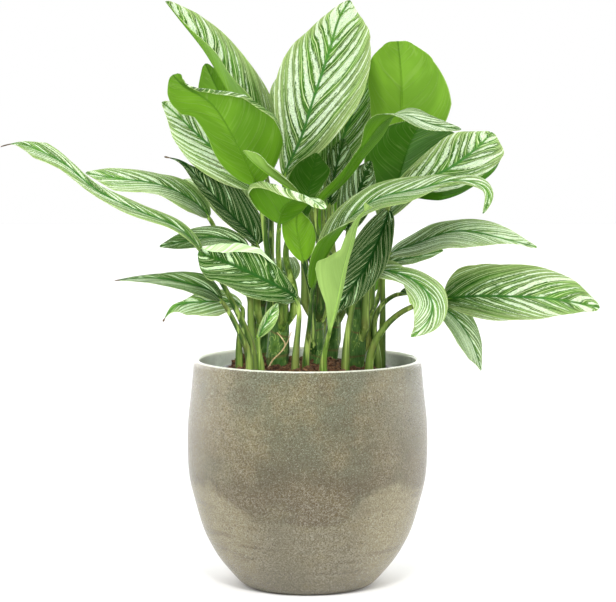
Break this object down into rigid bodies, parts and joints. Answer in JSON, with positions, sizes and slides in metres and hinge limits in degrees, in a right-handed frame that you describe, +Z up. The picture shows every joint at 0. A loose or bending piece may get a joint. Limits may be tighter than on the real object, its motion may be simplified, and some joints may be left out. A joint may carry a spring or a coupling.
{
  "type": "potted chinese evergreen",
  "caption": "Aglaonema house plant with silver-striped leaves on long petioles, in a plastic nursery pot inside a mottled glazed stoneware planter.",
  "frame": {"origin": "centre of the planter's flat foot, on the surface that it stands on", "axes": "+Z up; -Y towards the viewer of the picture; +X to that viewer's right"},
  "size_m": [0.5827, 0.3505, 0.5841],
  "materials": {
    "leaf": "satin",
    "stem": "satin",
    "soil": "rough",
    "nursery_pot": "satin",
    "planter": "gloss glaze"
  },
  "bodies": {
    "root": {"leaf_arching": "leaf", "leaf_back_centre": "leaf", "leaf_back_left": "leaf", "leaf_back_left_low": "leaf", "leaf_back_right": "leaf", "leaf_back_right_low": "leaf", "leaf_back_top": "leaf", "leaf_centre_dark": "leaf", "leaf_centre_folded": "leaf", "leaf_centre_plain": "leaf", "leaf_centre_small": "leaf", "leaf_front_centre": "leaf", "leaf_front_right": "leaf", "leaf_front_small": "leaf", "leaf_front_upright": "leaf", "leaf_hanging": "leaf", "leaf_left_front": "leaf", "leaf_left_long": "leaf", "leaf_left_lower": "leaf", "leaf_left_lowest": "leaf", "leaf_left_narrow": "leaf", "leaf_left_small": "leaf", "leaf_left_upper": "leaf", "leaf_plain_inner_right": "leaf", "leaf_plain_left": "leaf", "leaf_plain_right": "leaf", "leaf_right_arch": "leaf", "leaf_right_drooping": "leaf", "leaf_right_lower": "leaf", "leaf_right_middle": "leaf", "leaf_right_small": "leaf", "leaf_right_upper": "leaf", "leaf_rolled": "leaf", "leaf_small_behind_left": "leaf", "leaf_striped_left": "leaf", "leaf_top_behind": "leaf", "leaf_top_centre": "leaf", "leaf_top_left": "leaf", "nursery_pot": "nursery_pot", "planter": "planter", "soil": "soil", "stem_left": "stem", "stem_middle": "stem", "stem_rear": "stem", "stem_rear_left": "stem", "stem_right": "stem"}
  },
  "joints": []
}
